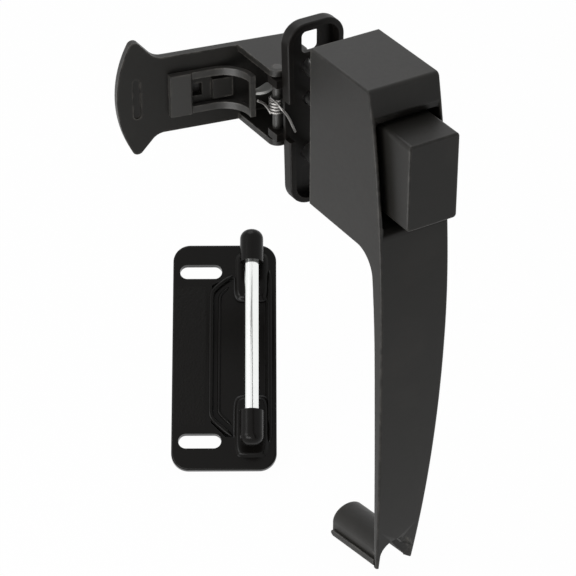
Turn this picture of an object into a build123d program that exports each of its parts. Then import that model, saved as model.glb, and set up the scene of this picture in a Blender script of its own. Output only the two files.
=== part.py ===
"""Storm door latch: outside pull handle with push button, inside plate and lever, and strike.

Millimetres. X is to the right seen from outside, +Y points into the house and +Z is up.
The handle's back lies on the outer door face, Y = 0, and its centre plane is X = 0.
"""

import os
from math import cos, radians, sin, tan

from build123d import *

# Door
door_thickness = 15.4

# Pull handle: box at the top, grip below it, and a foot that turns back to the door
box_width = 22.5
box_top = 25.0
box_bottom = -26.0
box_depth = 30.0
front_peak_depth = 38.6
front_peak_level = -53.0
grip_end_level = -142.7
grip_end_depth = 32.2
grip_end_width = 12.8
grip_back_top_depth = 32.4
grip_back_peak_depth = 34.7
grip_back_peak_level = -62.0
grip_back_end_depth = 30.3
underside_radius = 8.0
edge_radius = 0.7
crown_radius = 1.6

foot_root_depth = 31.6
foot_end_depth = 6.4
foot_width = 14.0
foot_root_level = -141.9
foot_height = 13.3
foot_slope = 13.0
trough_width = 11.2
trough_crown_level = -132.3
trough_slope = 9.2

# Button in its pocket
pocket_width = 20.4
pocket_top = 15.6
pocket_bottom = -16.0
pocket_floor_depth = 18.0
floor_thickness = 3.0
button_width = 16.6
button_top = 14.2
button_bottom = -12.8
button_front_depth = 45.5
button_wall = 1.5
button_front_wall = 2.0
button_corner = 1.2
button_travel = 4.0
button_end_gap = 0.5
guide_height = 9.0
guide_clearance = 0.3

# Plunger, its guide, clip, spring and cover
plunger_level = -2.5
plunger_diameter = 4.0
plunger_seat_depth = 5.0
plunger_proud = 0.6
running_clearance = 0.15
fit_clearance = 0.05
bush_wall = 0.8
bush_flange = 0.8
clip_diameter = 8.4
clip_thickness = 0.8
clip_groove_depth = 0.5
chamber_diameter = 11.0
cover_diameter = 12.8
cover_thickness = 1.2
spring_wire = 0.9
spring_diameter = 9.6
spring_turns = 6

# Posts and screws that clamp the door between handle and plate
post_levels = (8.1, -20.5)
post_diameter = 5.6
post_depth = 9.0
screw_diameter = 3.5
screw_length = 12.0
screw_head_diameter = 6.6
screw_head_height = 1.4
screw_clearance = 0.2
screw_slot_width = 0.8
screw_slot_depth = 0.7

# Inside plate: a dish, hollow towards the door
plate_top = 23.8
plate_bottom = -36.2
plate_top_width = 19.5
plate_bottom_width = 16.4
plate_depth = 4.7
plate_wall = 1.8
plate_web = 1.5
plate_corner = 6.4
plate_edge = 1.3
rim_edge = 0.6
end_hole_spacing = 44.45
end_hole_width = 6.0
end_hole_height = 6.8
end_hole_corner = 1.5
notch_top = -1.0
notch_bottom = -14.0
notch_depth = 2.6

# Pivot: lugs on the plate between the lever's flanges
pivot_x = -8.2
pivot_offset = 3.5
pin_diameter = 3.0
lug_width = 5.6
lug_thickness = 2.5
lug_gap = 0.35
torsion_wire = 0.8
torsion_turns = 5
torsion_pitch = 1.0
torsion_diameter = 5.4

# Latch lever
lever_top = 7.7
lever_bottom = -17.2
flange_thickness = 2.0
arm_reach = 19.0
arm_turn = 11.0
arm_thickness = 2.4
arm_right = 5.2
ear_radius = 3.0
neck_along = 37.0
tip_along = 43.6
tip_half_height = 19.8
bulge_along = 49.2
tip_radius = 1.8
neck_radius = 5.0
nub_radius = 1.2
nub_x = 1.5
nub_clearance = 0.2
flange_shoulder = 7.0
paddle_groove = 43.0
paddle_groove_length = 13.0
paddle_groove_width = 2.4
paddle_groove_depth = 0.5
hook_top = -2.0
hook_bottom = -13.0
hook_reach = 17.5
hook_nose_width = 4.4
hook_thickness = 2.6
hook_depth = 7.0
hook_fall = 1.2
hook_edge = 0.8

# Night-lock slide on the arm's door side
slide_clearance = 0.2
slide_thickness = 1.6
slide_half_width = 6.8
slide_outer = 33.4
slide_pad_inner = 26.4
slide_bend_start = 19.5
slide_bend_radius = 10.0
slide_rail_width = 2.3
slide_travel = 4.5
slide_neck = 29.6
slide_pad_rise = 0.6
neck_length = 4.0
neck_width = 3.6
keeper_length = 8.0
keeper_width = 8.4
keeper_thickness = 1.2
arm_block_start = 13.6
arm_block_end = 20.0
arm_block_width = 6.4

# Strike, held apart from the latch with its face towards the viewer
strike_foot = (-18.6, 41.2, -148.0)
strike_yaw = 31.0
strike_rise = 53.0
strike_width = 34.9
strike_height = 79.0
strike_thickness = 2.4
strike_corner = 5.8
slot_offset = 8.0
slot_spacing = 59.5
slot_length = 14.2
slot_height = 5.0
pin_offset = 9.2
pin_stand = 8.6
strike_pin_diameter = 4.8
strike_pin_free = 52.0
strike_pin_centre = 43.4
cap_diameter = 7.8
cap_length = 11.6
cap_insert = 6.0
cap_dome = 3.2
cap_foot = 9.0
cap_inset = 0.8
trough_left = -4.4
trough_right = 14.2
trough_top = 67.0
trough_bottom = 11.0
trough_bevel = 5.0
strike_trough_depth = 1.0

# Worked out from the sizes above
box_half = box_width / 2
plate_back = door_thickness + plate_depth
web_front = plate_back - plate_web
pivot = (pivot_x, plate_back + pivot_offset)
lever_middle = (lever_top + lever_bottom) / 2
plate_middle = (plate_top + plate_bottom) / 2
end_hole_levels = (
    plate_middle + end_hole_spacing / 2,
    plate_middle - end_hole_spacing / 2,
)
arm_direction = (-cos(radians(arm_turn)), sin(radians(arm_turn)), 0)
arm_inward = (sin(radians(arm_turn)), cos(radians(arm_turn)), 0)
arm_face = Plane(
    origin=(0, plate_back + arm_reach, 0), x_dir=arm_direction, z_dir=arm_inward
)
arm_level = Plane(
    origin=(0, plate_back + arm_reach, lever_middle), x_dir=arm_direction, z_dir=(0, 0, 1)
)
strike_out = (
    -sin(radians(strike_yaw)) * cos(radians(strike_rise)),
    -cos(radians(strike_yaw)) * cos(radians(strike_rise)),
    sin(radians(strike_rise)),
)
strike_back = Plane(
    origin=strike_foot,
    x_dir=(cos(radians(strike_yaw)), -sin(radians(strike_yaw)), 0),
    z_dir=strike_out,
)

out_of_strike = Axis(origin=strike_back.origin, direction=strike_back.z_dir)
up_the_strike = Axis(origin=strike_back.origin, direction=strike_back.y_dir)


def at_depth(depth):
    """Upright plane facing out of the house, this far in front of the door's outer face."""
    return Plane.XZ.offset(depth)


def arm_front(x):
    """Y of the lever arm's door-side face at this X."""
    return plate_back + arm_reach - x * tan(radians(arm_turn))


os.makedirs("parts", exist_ok=True)

# Pull handle, one die casting
with BuildPart() as pull_handle:
    with BuildSketch(Plane.YZ) as side_view:
        with BuildLine():
            front_peak = (-front_peak_depth, front_peak_level)
            back_peak = (-grip_back_peak_depth, grip_back_peak_level)
            TangentArc(front_peak, (-box_depth, box_top), tangent=(0, 1))
            Line((-box_depth, box_top), (0, box_top))
            Line((0, box_top), (0, box_bottom))
            Line((0, box_bottom), (-grip_back_top_depth, box_bottom))
            TangentArc(back_peak, (-grip_back_top_depth, box_bottom), tangent=(0, 1))
            TangentArc(back_peak, (-grip_back_end_depth, grip_end_level), tangent=(0, -1))
            Line((-grip_back_end_depth, grip_end_level), (-grip_end_depth, grip_end_level))
            TangentArc(front_peak, (-grip_end_depth, grip_end_level), tangent=(0, -1))
        make_face()
        inner_corner = side_view.vertices().sort_by_distance((-grip_back_top_depth, box_bottom))[0]
        fillet(inner_corner, underside_radius)
        front_corner = side_view.vertices().sort_by_distance((-box_depth, box_top))[0]
        fillet(front_corner, crown_radius)
    extrude(amount=box_half, both=True)
    with BuildSketch(Plane.XZ):
        with BuildLine():
            Line((-box_half, box_top), (box_half, box_top))
            Line((box_half, box_top), (box_half, box_bottom))
            TangentArc(
                (box_half, box_bottom), (grip_end_width / 2, grip_end_level), tangent=(0, -1)
            )
            Line((grip_end_width / 2, grip_end_level), (-grip_end_width / 2, grip_end_level))
            TangentArc(
                (-box_half, box_bottom), (-grip_end_width / 2, grip_end_level), tangent=(0, -1)
            )
            Line((-box_half, box_bottom), (-box_half, box_top))
        make_face()
    extrude(amount=front_peak_depth + box_depth, both=True, mode=Mode.INTERSECT)
    # Soften every edge but those on the door and at the grip's end
    long_edges = pull_handle.edges().filter_by(
        lambda edge: edge.center().Y < -edge_radius and edge.center().Z > grip_end_level + edge_radius
    )
    fillet(long_edges, edge_radius)
    # Foot: an arch that runs back to the door, sloping down
    foot_half = foot_width / 2
    spring_line = foot_root_level + foot_height - foot_half
    with BuildSketch(at_depth(foot_root_depth)):
        with BuildLine():
            Polyline(
                (-foot_half, spring_line),
                (-foot_half, foot_root_level),
                (foot_half, foot_root_level),
                (foot_half, spring_line),
            )
            ThreePointArc(
                (foot_half, spring_line), (0, spring_line + foot_half), (-foot_half, spring_line)
            )
        make_face()
    foot_run = (foot_root_depth - foot_end_depth) / cos(radians(foot_slope))
    foot_direction = (0, cos(radians(foot_slope)), -sin(radians(foot_slope)))
    extrude(amount=foot_run, dir=foot_direction)
    # Trough: the foot is open below, and through the front of the grip
    trough_half = trough_width / 2
    trough_rise = (front_peak_depth - grip_end_depth) * tan(radians(trough_slope))
    trough_line = trough_crown_level + trough_rise - trough_half
    with BuildSketch(at_depth(front_peak_depth)):
        with BuildLine():
            Polyline(
                (-trough_half, trough_line),
                (-trough_half, grip_end_level - foot_height),
                (trough_half, grip_end_level - foot_height),
                (trough_half, trough_line),
            )
            ThreePointArc(
                (trough_half, trough_line),
                (0, trough_line + trough_half),
                (-trough_half, trough_line),
            )
        make_face()
    trough_direction = (0, cos(radians(trough_slope)), -sin(radians(trough_slope)))
    extrude(amount=front_peak_depth, dir=trough_direction, mode=Mode.SUBTRACT)
    # Button pocket with a boss that guides the button
    with BuildSketch(at_depth(pocket_floor_depth)):
        with Locations((0, (pocket_top + pocket_bottom) / 2)):
            RectangleRounded(pocket_width, pocket_top - pocket_bottom, button_corner)
    extrude(amount=front_peak_depth, mode=Mode.SUBTRACT)
    with BuildSketch(at_depth(pocket_floor_depth)):
        with Locations((0, (button_top + button_bottom) / 2)):
            Rectangle(
                button_width - 2 * (button_wall + guide_clearance),
                button_top - button_bottom - 2 * (button_wall + guide_clearance),
            )
    extrude(amount=guide_height)
    # Spring seat, bush bore, chamber behind the floor, and the recess for its cover
    seat_depth = pocket_floor_depth + bush_flange
    with BuildSketch(at_depth(pocket_floor_depth)):
        with Locations((0, plunger_level)):
            Circle(spring_diameter / 2 + guide_clearance)
    extrude(amount=guide_height, mode=Mode.SUBTRACT)
    bush_diameter = plunger_diameter + 2 * (running_clearance + bush_wall)
    chamber_depth = pocket_floor_depth - floor_thickness
    for bore, depth in (
        (bush_diameter + 2 * fit_clearance, pocket_floor_depth),
        (chamber_diameter, chamber_depth),
        (cover_diameter + 2 * fit_clearance, cover_thickness),
    ):
        with BuildSketch(at_depth(0)):
            with Locations((0, plunger_level)):
                Circle(bore / 2)
        extrude(amount=depth, mode=Mode.SUBTRACT)
    # Blind bores for the two posts
    with BuildSketch(at_depth(0)):
        with Locations(*[(0, level) for level in post_levels]):
            Circle(post_diameter / 2 + fit_clearance)
    extrude(amount=post_depth, mode=Mode.SUBTRACT)
pull_handle.part.label = "pull_handle"

# Cover that closes the spring chamber behind the handle
with BuildPart() as spring_cover:
    with BuildSketch(at_depth(0)):
        with Locations((0, plunger_level)):
            Circle(cover_diameter / 2)
            Circle(plunger_diameter / 2 + running_clearance, mode=Mode.SUBTRACT)
    extrude(amount=cover_thickness)
spring_cover.part.label = "spring_cover"

# Flanged bush that guides the plunger through the pocket's floor
with BuildPart() as plunger_bush:
    with BuildSketch(at_depth(chamber_depth)):
        with Locations((0, plunger_level)):
            Circle(bush_diameter / 2)
    extrude(amount=floor_thickness + bush_flange)
    with BuildSketch(at_depth(pocket_floor_depth)):
        with Locations((0, plunger_level)):
            Circle(spring_diameter / 2)
    extrude(amount=bush_flange)
    with BuildSketch(at_depth(0)):
        with Locations((0, plunger_level)):
            Circle(plunger_diameter / 2 + running_clearance)
    extrude(amount=front_peak_depth, mode=Mode.SUBTRACT)
plunger_bush.part.label = "plunger_bush"

# Push button: a hollow cap that slides over the boss
button_middle = (button_top + button_bottom) / 2
button_height = button_top - button_bottom
button_rear_depth = pocket_floor_depth + button_travel + button_end_gap
button_inside_depth = button_front_depth - button_front_wall
with BuildPart() as push_button:
    with BuildSketch(at_depth(button_rear_depth)):
        with Locations((0, button_middle)):
            RectangleRounded(button_width, button_height, button_corner)
    extrude(amount=button_front_depth - button_rear_depth)
    fillet(push_button.faces().sort_by(Axis.Y)[0].edges(), edge_radius)
    with BuildSketch(at_depth(button_rear_depth)):
        with Locations((0, button_middle)):
            Rectangle(button_width - 2 * button_wall, button_height - 2 * button_wall)
    extrude(amount=button_inside_depth - button_rear_depth, mode=Mode.SUBTRACT)
    with BuildSketch(at_depth(button_inside_depth)):
        with Locations((0, plunger_level)):
            Circle(spring_diameter / 2 - spring_wire - guide_clearance)
            Circle(plunger_diameter / 2 + fit_clearance, mode=Mode.SUBTRACT)
    extrude(amount=-plunger_seat_depth)
push_button.part.label = "push_button"

# Plunger: a round rod with a groove for its clip
clip_depth = chamber_depth - fit_clearance
clip_inner = plunger_diameter / 2 - clip_groove_depth
with BuildPart() as button_plunger:
    with BuildSketch(at_depth(button_inside_depth)):
        with Locations((0, plunger_level)):
            Circle(plunger_diameter / 2)
    extrude(amount=-(button_inside_depth + plate_back + plunger_proud))
    chamfer(button_plunger.faces().sort_by(Axis.Y)[-1].edges(), clip_groove_depth)
    with BuildSketch(at_depth(clip_depth)):
        with Locations((0, plunger_level)):
            Circle(plunger_diameter / 2)
            Circle(clip_inner, mode=Mode.SUBTRACT)
    extrude(amount=-clip_thickness, mode=Mode.SUBTRACT)
button_plunger.part.label = "button_plunger"

# Clip that stops the button at its outer position
with BuildPart() as plunger_clip:
    with BuildSketch(at_depth(clip_depth - fit_clearance)):
        with Locations((0, plunger_level)):
            Circle(clip_diameter / 2)
            Circle(clip_inner, mode=Mode.SUBTRACT)
        with Locations((0, plunger_level - clip_diameter / 2)):
            Rectangle(2 * clip_inner, clip_diameter, mode=Mode.SUBTRACT)
    extrude(amount=-(clip_thickness - 2 * fit_clearance))
plunger_clip.part.label = "plunger_clip"

# Compression spring between the bush's flange and the button
spring_start = seat_depth + spring_wire / 2 + running_clearance
spring_end = button_inside_depth - spring_wire / 2 - running_clearance
with BuildPart() as button_spring:
    with BuildLine() as button_coil:
        Helix(
            pitch=(spring_end - spring_start) / spring_turns,
            height=spring_end - spring_start,
            radius=(spring_diameter - spring_wire) / 2,
            center=(0, -spring_start, plunger_level),
            direction=(0, -1, 0),
        )
    with BuildSketch(Plane(origin=button_coil.line @ 0, z_dir=button_coil.line % 0)):
        Circle(spring_wire / 2)
    sweep()
button_spring.part.label = "button_spring"

# Two posts that stand between handle and plate, tapped for the clamp screws
with BuildPart() as mounting_posts:
    with BuildSketch(at_depth(post_depth)):
        with Locations(*[(0, level) for level in post_levels]):
            Circle(post_diameter / 2)
    extrude(amount=-(web_front + post_depth))
    with BuildSketch(at_depth(-web_front)):
        with Locations(*[(0, level) for level in post_levels]):
            Circle(screw_diameter / 2 + fit_clearance)
    extrude(amount=screw_length, mode=Mode.SUBTRACT)
mounting_posts.part.label = "mounting_posts"

# Countersunk screws through the plate into the posts
screw_seats = [
    Plane(origin=(0, plate_back, level), x_dir=(1, 0, 0), z_dir=(0, -1, 0)) for level in post_levels
]
seat_align = (Align.CENTER, Align.CENTER, Align.MIN)
with BuildPart() as clamp_screws:
    with BuildSketch(at_depth(-plate_back)):
        with Locations(*[(0, level) for level in post_levels]):
            Circle(screw_diameter / 2)
    extrude(amount=screw_length)
    with Locations(*screw_seats):
        Cone(screw_head_diameter / 2, screw_diameter / 2, screw_head_height, align=seat_align)
    with Locations(*screw_seats):
        Box(screw_slot_width, screw_head_diameter, screw_slot_depth, mode=Mode.SUBTRACT)
clamp_screws.part.label = "clamp_screws"

# Inside plate: a dish with a rounded back edge, two lugs and a notch for the spring's leg
upper_lug = lever_top - flange_thickness - lug_gap - lug_thickness
lower_lug = lever_bottom + flange_thickness + lug_gap
with BuildPart() as inside_plate:
    with BuildSketch(at_depth(-door_thickness)) as plate_outline:
        with BuildLine():
            Polyline(
                (-plate_top_width / 2, plate_top),
                (plate_top_width / 2, plate_top),
                (plate_bottom_width / 2, plate_bottom),
                (-plate_bottom_width / 2, plate_bottom),
                close=True,
            )
        make_face()
        fillet(plate_outline.vertices(), plate_corner)
    extrude(amount=-plate_depth)
    fillet(inside_plate.faces().sort_by(Axis.Y)[-1].edges(), plate_edge)
    fillet(inside_plate.faces().sort_by(Axis.Y)[0].edges(), rim_edge)
    with BuildSketch(at_depth(-door_thickness)):
        add(plate_outline.face())
        offset(amount=-plate_wall, mode=Mode.REPLACE)
    extrude(amount=-(plate_depth - plate_web), mode=Mode.SUBTRACT)
    # Windows at the ends, and the holes for plunger and screws
    with BuildSketch(at_depth(-door_thickness)):
        with Locations(*[(0, level) for level in end_hole_levels]):
            RectangleRounded(end_hole_width, end_hole_height, end_hole_corner)
        with Locations((0, plunger_level)):
            Circle(plunger_diameter / 2 + 2 * running_clearance)
        with Locations(*[(0, level) for level in post_levels]):
            Circle(screw_diameter / 2 + screw_clearance)
    extrude(amount=-plate_depth, mode=Mode.SUBTRACT)
    with Locations(*screw_seats):
        Cone(
            screw_head_diameter / 2 + screw_clearance,
            screw_diameter / 2 + screw_clearance,
            screw_head_height,
            align=seat_align,
            mode=Mode.SUBTRACT,
        )
    # Notch in the left rim
    with BuildSketch(at_depth(-door_thickness)):
        with Locations((-plate_top_width / 2, (notch_top + notch_bottom) / 2)):
            Rectangle(4 * plate_wall, notch_top - notch_bottom)
    extrude(amount=-notch_depth, mode=Mode.SUBTRACT)
    # Lugs that carry the pivot pin
    for lug_level in (upper_lug, lower_lug):
        with BuildSketch(Plane.XY.offset(lug_level)):
            with BuildLine():
                Polyline(
                    (pivot[0] - lug_width / 2, pivot[1]),
                    (pivot[0] - lug_width / 2, plate_back - plate_web / 2),
                    (pivot[0] + lug_width / 2, plate_back - plate_web / 2),
                    (pivot[0] + lug_width / 2, pivot[1]),
                )
                ThreePointArc(
                    (pivot[0] + lug_width / 2, pivot[1]),
                    (pivot[0], pivot[1] + lug_width / 2),
                    (pivot[0] - lug_width / 2, pivot[1]),
                )
            make_face()
            with Locations(pivot):
                Circle(pin_diameter / 2 + running_clearance, mode=Mode.SUBTRACT)
        extrude(amount=lug_thickness)
inside_plate.part.label = "inside_plate"

# Pivot pin, pressed into the lever's flanges and turning in the lugs
with BuildPart() as pivot_pin:
    with BuildSketch(Plane.XY.offset(lever_bottom)):
        with Locations(pivot):
            Circle(pin_diameter / 2)
    extrude(amount=lever_top - lever_bottom)
pivot_pin.part.label = "pivot_pin"

# Latch lever: arm with paddle, two flanges to the pivot, hook and push rib
nub = (nub_x, plate_back + plunger_proud + nub_clearance + nub_radius)
arm_middle = plate_back + arm_reach + arm_thickness / 2
with BuildPart() as latch_lever:
    with BuildSketch(arm_face) as arm_outline:
        with BuildLine():
            Polyline(
                (tip_along, lever_middle + tip_half_height),
                (neck_along, lever_top),
                (-arm_right, lever_top),
                (-arm_right, lever_bottom),
                (neck_along, lever_bottom),
                (tip_along, lever_middle - tip_half_height),
            )
            ThreePointArc(
                (tip_along, lever_middle - tip_half_height),
                (bulge_along, lever_middle),
                (tip_along, lever_middle + tip_half_height),
            )
        make_face()
        neck_corners = arm_outline.vertices().filter_by_position(
            Axis.X, neck_along - 0.1, neck_along + 0.1
        )
        fillet(neck_corners, neck_radius)
        tips = arm_outline.vertices().group_by(Axis.Y)
        fillet(tips[0] + tips[-1], tip_radius)
    extrude(amount=arm_thickness)
    # Flanges from the arm to the pivot
    for level in (lever_top - flange_thickness, lever_bottom):
        with BuildSketch(Plane.XY.offset(level)):
            with BuildLine():
                Polyline(
                    (pivot[0] - ear_radius, pivot[1]),
                    (pivot[0] - ear_radius, arm_middle - pivot[0] * tan(radians(arm_turn))),
                    (arm_right, arm_middle - arm_right * tan(radians(arm_turn))),
                    (arm_right, nub[1] + flange_shoulder),
                    (nub[0] + nub_radius, nub[1]),
                )
                ThreePointArc(
                    (nub[0] + nub_radius, nub[1]),
                    (nub[0], nub[1] - nub_radius),
                    (nub[0] - nub_radius, nub[1]),
                )
                Line((nub[0] - nub_radius, nub[1]), (pivot[0], pivot[1] - ear_radius))
                RadiusArc(
                    (pivot[0], pivot[1] - ear_radius), (pivot[0] - ear_radius, pivot[1]), ear_radius
                )
            make_face()
        extrude(amount=flange_thickness)
    # Rib between the flanges, which the plunger pushes
    with BuildSketch(Plane.XY.offset(lever_bottom)):
        with Locations(nub):
            Circle(nub_radius)
        with Locations((nub[0], nub[1] + flange_shoulder / 2)):
            Rectangle(2 * nub_radius, flange_shoulder)
    extrude(amount=lever_top - lever_bottom)
    # Hook: a tongue past the arm's right end, with a nose towards the door
    with BuildSketch(Plane.XY.offset(hook_bottom)) as hook_outline:
        with BuildLine():
            hook_root = arm_middle - arm_right * tan(radians(arm_turn))
            Polyline(
                (arm_right - hook_thickness, hook_root + arm_thickness / 2),
                (hook_reach - hook_nose_width, hook_root + arm_thickness / 2 - hook_fall),
                (hook_reach, hook_root - hook_nose_width),
                (hook_reach, hook_root - hook_depth),
                (hook_reach - hook_nose_width, hook_root - hook_depth + hook_fall),
                (hook_reach - hook_nose_width, hook_root - hook_thickness),
                (arm_right - hook_thickness, hook_root - hook_thickness),
                close=True,
            )
        make_face()
        fillet(hook_outline.vertices().group_by(Axis.X)[-1], hook_edge)
    extrude(amount=hook_top - hook_bottom)
    # Block in front of the arm between the slide's rails
    with BuildSketch(arm_face):
        with Locations(((arm_block_start + arm_block_end) / 2, lever_middle)):
            Rectangle(arm_block_end - arm_block_start, arm_block_width)
    extrude(amount=-slide_thickness)
    # Slot for the slide's neck
    slot_middle = slide_neck - slide_travel / 2
    with BuildSketch(arm_face):
        with Locations((slot_middle, lever_middle)):
            Rectangle(
                neck_length + slide_travel + 2 * slide_clearance, neck_width + 2 * slide_clearance
            )
    extrude(amount=arm_thickness, mode=Mode.SUBTRACT)
    # Shallow recess across the paddle
    with BuildSketch(arm_face):
        with Locations((paddle_groove, lever_middle)):
            SlotOverall(paddle_groove_length, paddle_groove_width, rotation=90)
    extrude(amount=paddle_groove_depth, mode=Mode.SUBTRACT)
    # Bores for the pivot pin
    with BuildSketch(Plane.XY.offset(lever_bottom)):
        with Locations(pivot):
            Circle(pin_diameter / 2 + fit_clearance)
    extrude(amount=lever_top - lever_bottom, mode=Mode.SUBTRACT)
latch_lever.part.label = "latch_lever"

# Night-lock slide: thumb pad and two rails that bend towards the door
with BuildPart() as night_lock_slide:
    with BuildSketch(arm_level.offset(-slide_half_width)):
        with BuildLine():
            bend_end = slide_bend_start - slide_bend_radius
            inner_radius = slide_bend_radius - slide_thickness
            slide_front = slide_clearance + slide_thickness
            Polyline(
                (slide_bend_start, slide_clearance),
                (slide_outer, slide_clearance),
                (slide_outer, slide_front + slide_pad_rise),
                (slide_pad_inner + slide_pad_rise, slide_front + slide_pad_rise),
                (slide_pad_inner, slide_front),
                (slide_bend_start, slide_front),
            )
            TangentArc(
                (slide_bend_start, slide_front),
                (slide_bend_start - inner_radius, slide_front + inner_radius),
                tangent=(-1, 0),
            )
            Line(
                (slide_bend_start - inner_radius, slide_front + inner_radius),
                (bend_end, slide_clearance + slide_bend_radius),
            )
            TangentArc(
                (slide_bend_start, slide_clearance),
                (bend_end, slide_clearance + slide_bend_radius),
                tangent=(-1, 0),
            )
        make_face()
    extrude(amount=2 * slide_half_width)
    # Window between the rails
    with BuildSketch(arm_face):
        with Locations((slide_pad_inner, lever_middle)):
            Rectangle(
                slide_bend_start,
                2 * (slide_half_width - slide_rail_width),
                align=(Align.MAX, Align.CENTER),
            )
    extrude(amount=-2 * slide_bend_radius, mode=Mode.SUBTRACT)
    # Neck through the arm
    with BuildSketch(arm_face.offset(-slide_clearance)):
        with Locations((slide_neck, lever_middle)):
            Rectangle(neck_length, neck_width)
    extrude(amount=arm_thickness + 2 * slide_clearance)
night_lock_slide.part.label = "night_lock_slide"

# Keeper plate riveted to the neck behind the arm
with BuildPart() as slide_keeper:
    with BuildSketch(arm_face.offset(arm_thickness + slide_clearance)):
        with Locations((slide_neck, lever_middle)):
            RectangleRounded(keeper_length, keeper_width, neck_width / 2)
    extrude(amount=keeper_thickness)
slide_keeper.part.label = "slide_keeper"

# Torsion spring: coil on the pin between the lugs, one leg to the notch, one to the arm
torsion_radius = (torsion_diameter - torsion_wire) / 2
with BuildPart() as torsion_spring:
    with BuildLine() as torsion_line:
        coil = Helix(
            pitch=torsion_pitch,
            height=torsion_turns * torsion_pitch,
            radius=torsion_radius,
            center=(pivot[0], pivot[1], lever_middle - torsion_turns * torsion_pitch / 2),
        )
    with BuildSketch(Plane(origin=coil @ 0, z_dir=coil % 0)):
        Circle(torsion_wire / 2)
    sweep(path=coil)
torsion_spring.part.label = "torsion_spring"

# Strike plate: pressed pan with a trough below the pin and two slots
plate_front = strike_back.offset(strike_thickness)
with BuildPart() as strike_plate:
    with BuildSketch(strike_back) as strike_outline:
        with Locations((0, strike_height / 2)):
            RectangleRounded(strike_width, strike_height, strike_corner)
    extrude(amount=strike_thickness)
    fillet(strike_plate.faces().sort_by(out_of_strike)[-1].edges(), edge_radius)
    with BuildSketch(plate_front):
        with BuildLine():
            Polyline(
                (trough_left, trough_bottom + trough_bevel),
                (trough_left, trough_top - trough_bevel / 2),
                (trough_left + trough_bevel, trough_top),
                (trough_right, trough_top),
                (trough_right, trough_bottom),
                (trough_left + trough_bevel, trough_bottom),
                close=True,
            )
        make_face()
    extrude(amount=-strike_trough_depth, taper=30, mode=Mode.SUBTRACT)
    with BuildSketch(strike_back):
        for shift in (-slot_spacing / 2, slot_spacing / 2):
            with Locations((-slot_offset, strike_height / 2 + shift)):
                SlotOverall(slot_length, slot_height)
    extrude(amount=strike_thickness, mode=Mode.SUBTRACT)
strike_plate.part.label = "strike_plate"

# Strike pin
pin_base = Plane(
    origin=strike_back.from_local_coords(
        (pin_offset, strike_pin_centre - strike_pin_free / 2 - cap_insert, strike_thickness + pin_stand)
    ),
    x_dir=strike_back.x_dir,
    z_dir=strike_back.y_dir,
)
pin_length = strike_pin_free + 2 * cap_insert
with BuildPart() as strike_pin:
    with BuildSketch(pin_base):
        Circle(strike_pin_diameter / 2)
    extrude(amount=pin_length)
strike_pin.part.label = "strike_pin"

# Caps that hold the pin's ends: a socket on a post, domed at its outer end
with BuildPart() as strike_cap_upper:
    with BuildSketch(pin_base.offset(pin_length - cap_insert)):
        Circle(cap_diameter / 2)
    extrude(amount=cap_length)
    fillet(strike_cap_upper.faces().sort_by(up_the_strike)[-1].edges(), cap_dome)
    with BuildSketch(plate_front):
        with Locations((pin_offset, strike_pin_centre + strike_pin_free / 2 + cap_foot / 2)):
            RectangleRounded(cap_diameter - 2 * cap_inset, cap_foot, cap_inset)
    extrude(amount=pin_stand)
    with BuildSketch(pin_base):
        Circle(strike_pin_diameter / 2 + fit_clearance)
    extrude(amount=pin_length + fit_clearance, mode=Mode.SUBTRACT)
strike_cap_upper.part.label = "strike_cap_upper"

with BuildPart() as strike_cap_lower:
    with BuildSketch(pin_base.offset(cap_insert)):
        Circle(cap_diameter / 2)
    extrude(amount=-cap_length)
    fillet(strike_cap_lower.faces().sort_by(up_the_strike)[0].edges(), cap_dome)
    with BuildSketch(plate_front):
        with Locations((pin_offset, strike_pin_centre - strike_pin_free / 2 - cap_foot / 2)):
            RectangleRounded(cap_diameter - 2 * cap_inset, cap_foot, cap_inset)
    extrude(amount=pin_stand)
    with BuildSketch(pin_base.offset(-fit_clearance)):
        Circle(strike_pin_diameter / 2 + fit_clearance)
    extrude(amount=pin_length + fit_clearance, mode=Mode.SUBTRACT)
strike_cap_lower.part.label = "strike_cap_lower"

for piece in (
    pull_handle,
    spring_cover,
    plunger_bush,
    push_button,
    button_plunger,
    plunger_clip,
    button_spring,
    mounting_posts,
    clamp_screws,
    inside_plate,
    pivot_pin,
    torsion_spring,
    latch_lever,
    night_lock_slide,
    slide_keeper,
    strike_plate,
    strike_pin,
    strike_cap_upper,
    strike_cap_lower,
):
    export_step(piece.part, f"parts/{piece.part.label}.step")
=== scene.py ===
"""Looks of a storm door latch: pull handle, push button, inside plate, lever and strike.

Metres, in the CAD's own frame: X to the right seen from outside, +Y into the house, +Z up.
"""

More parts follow.
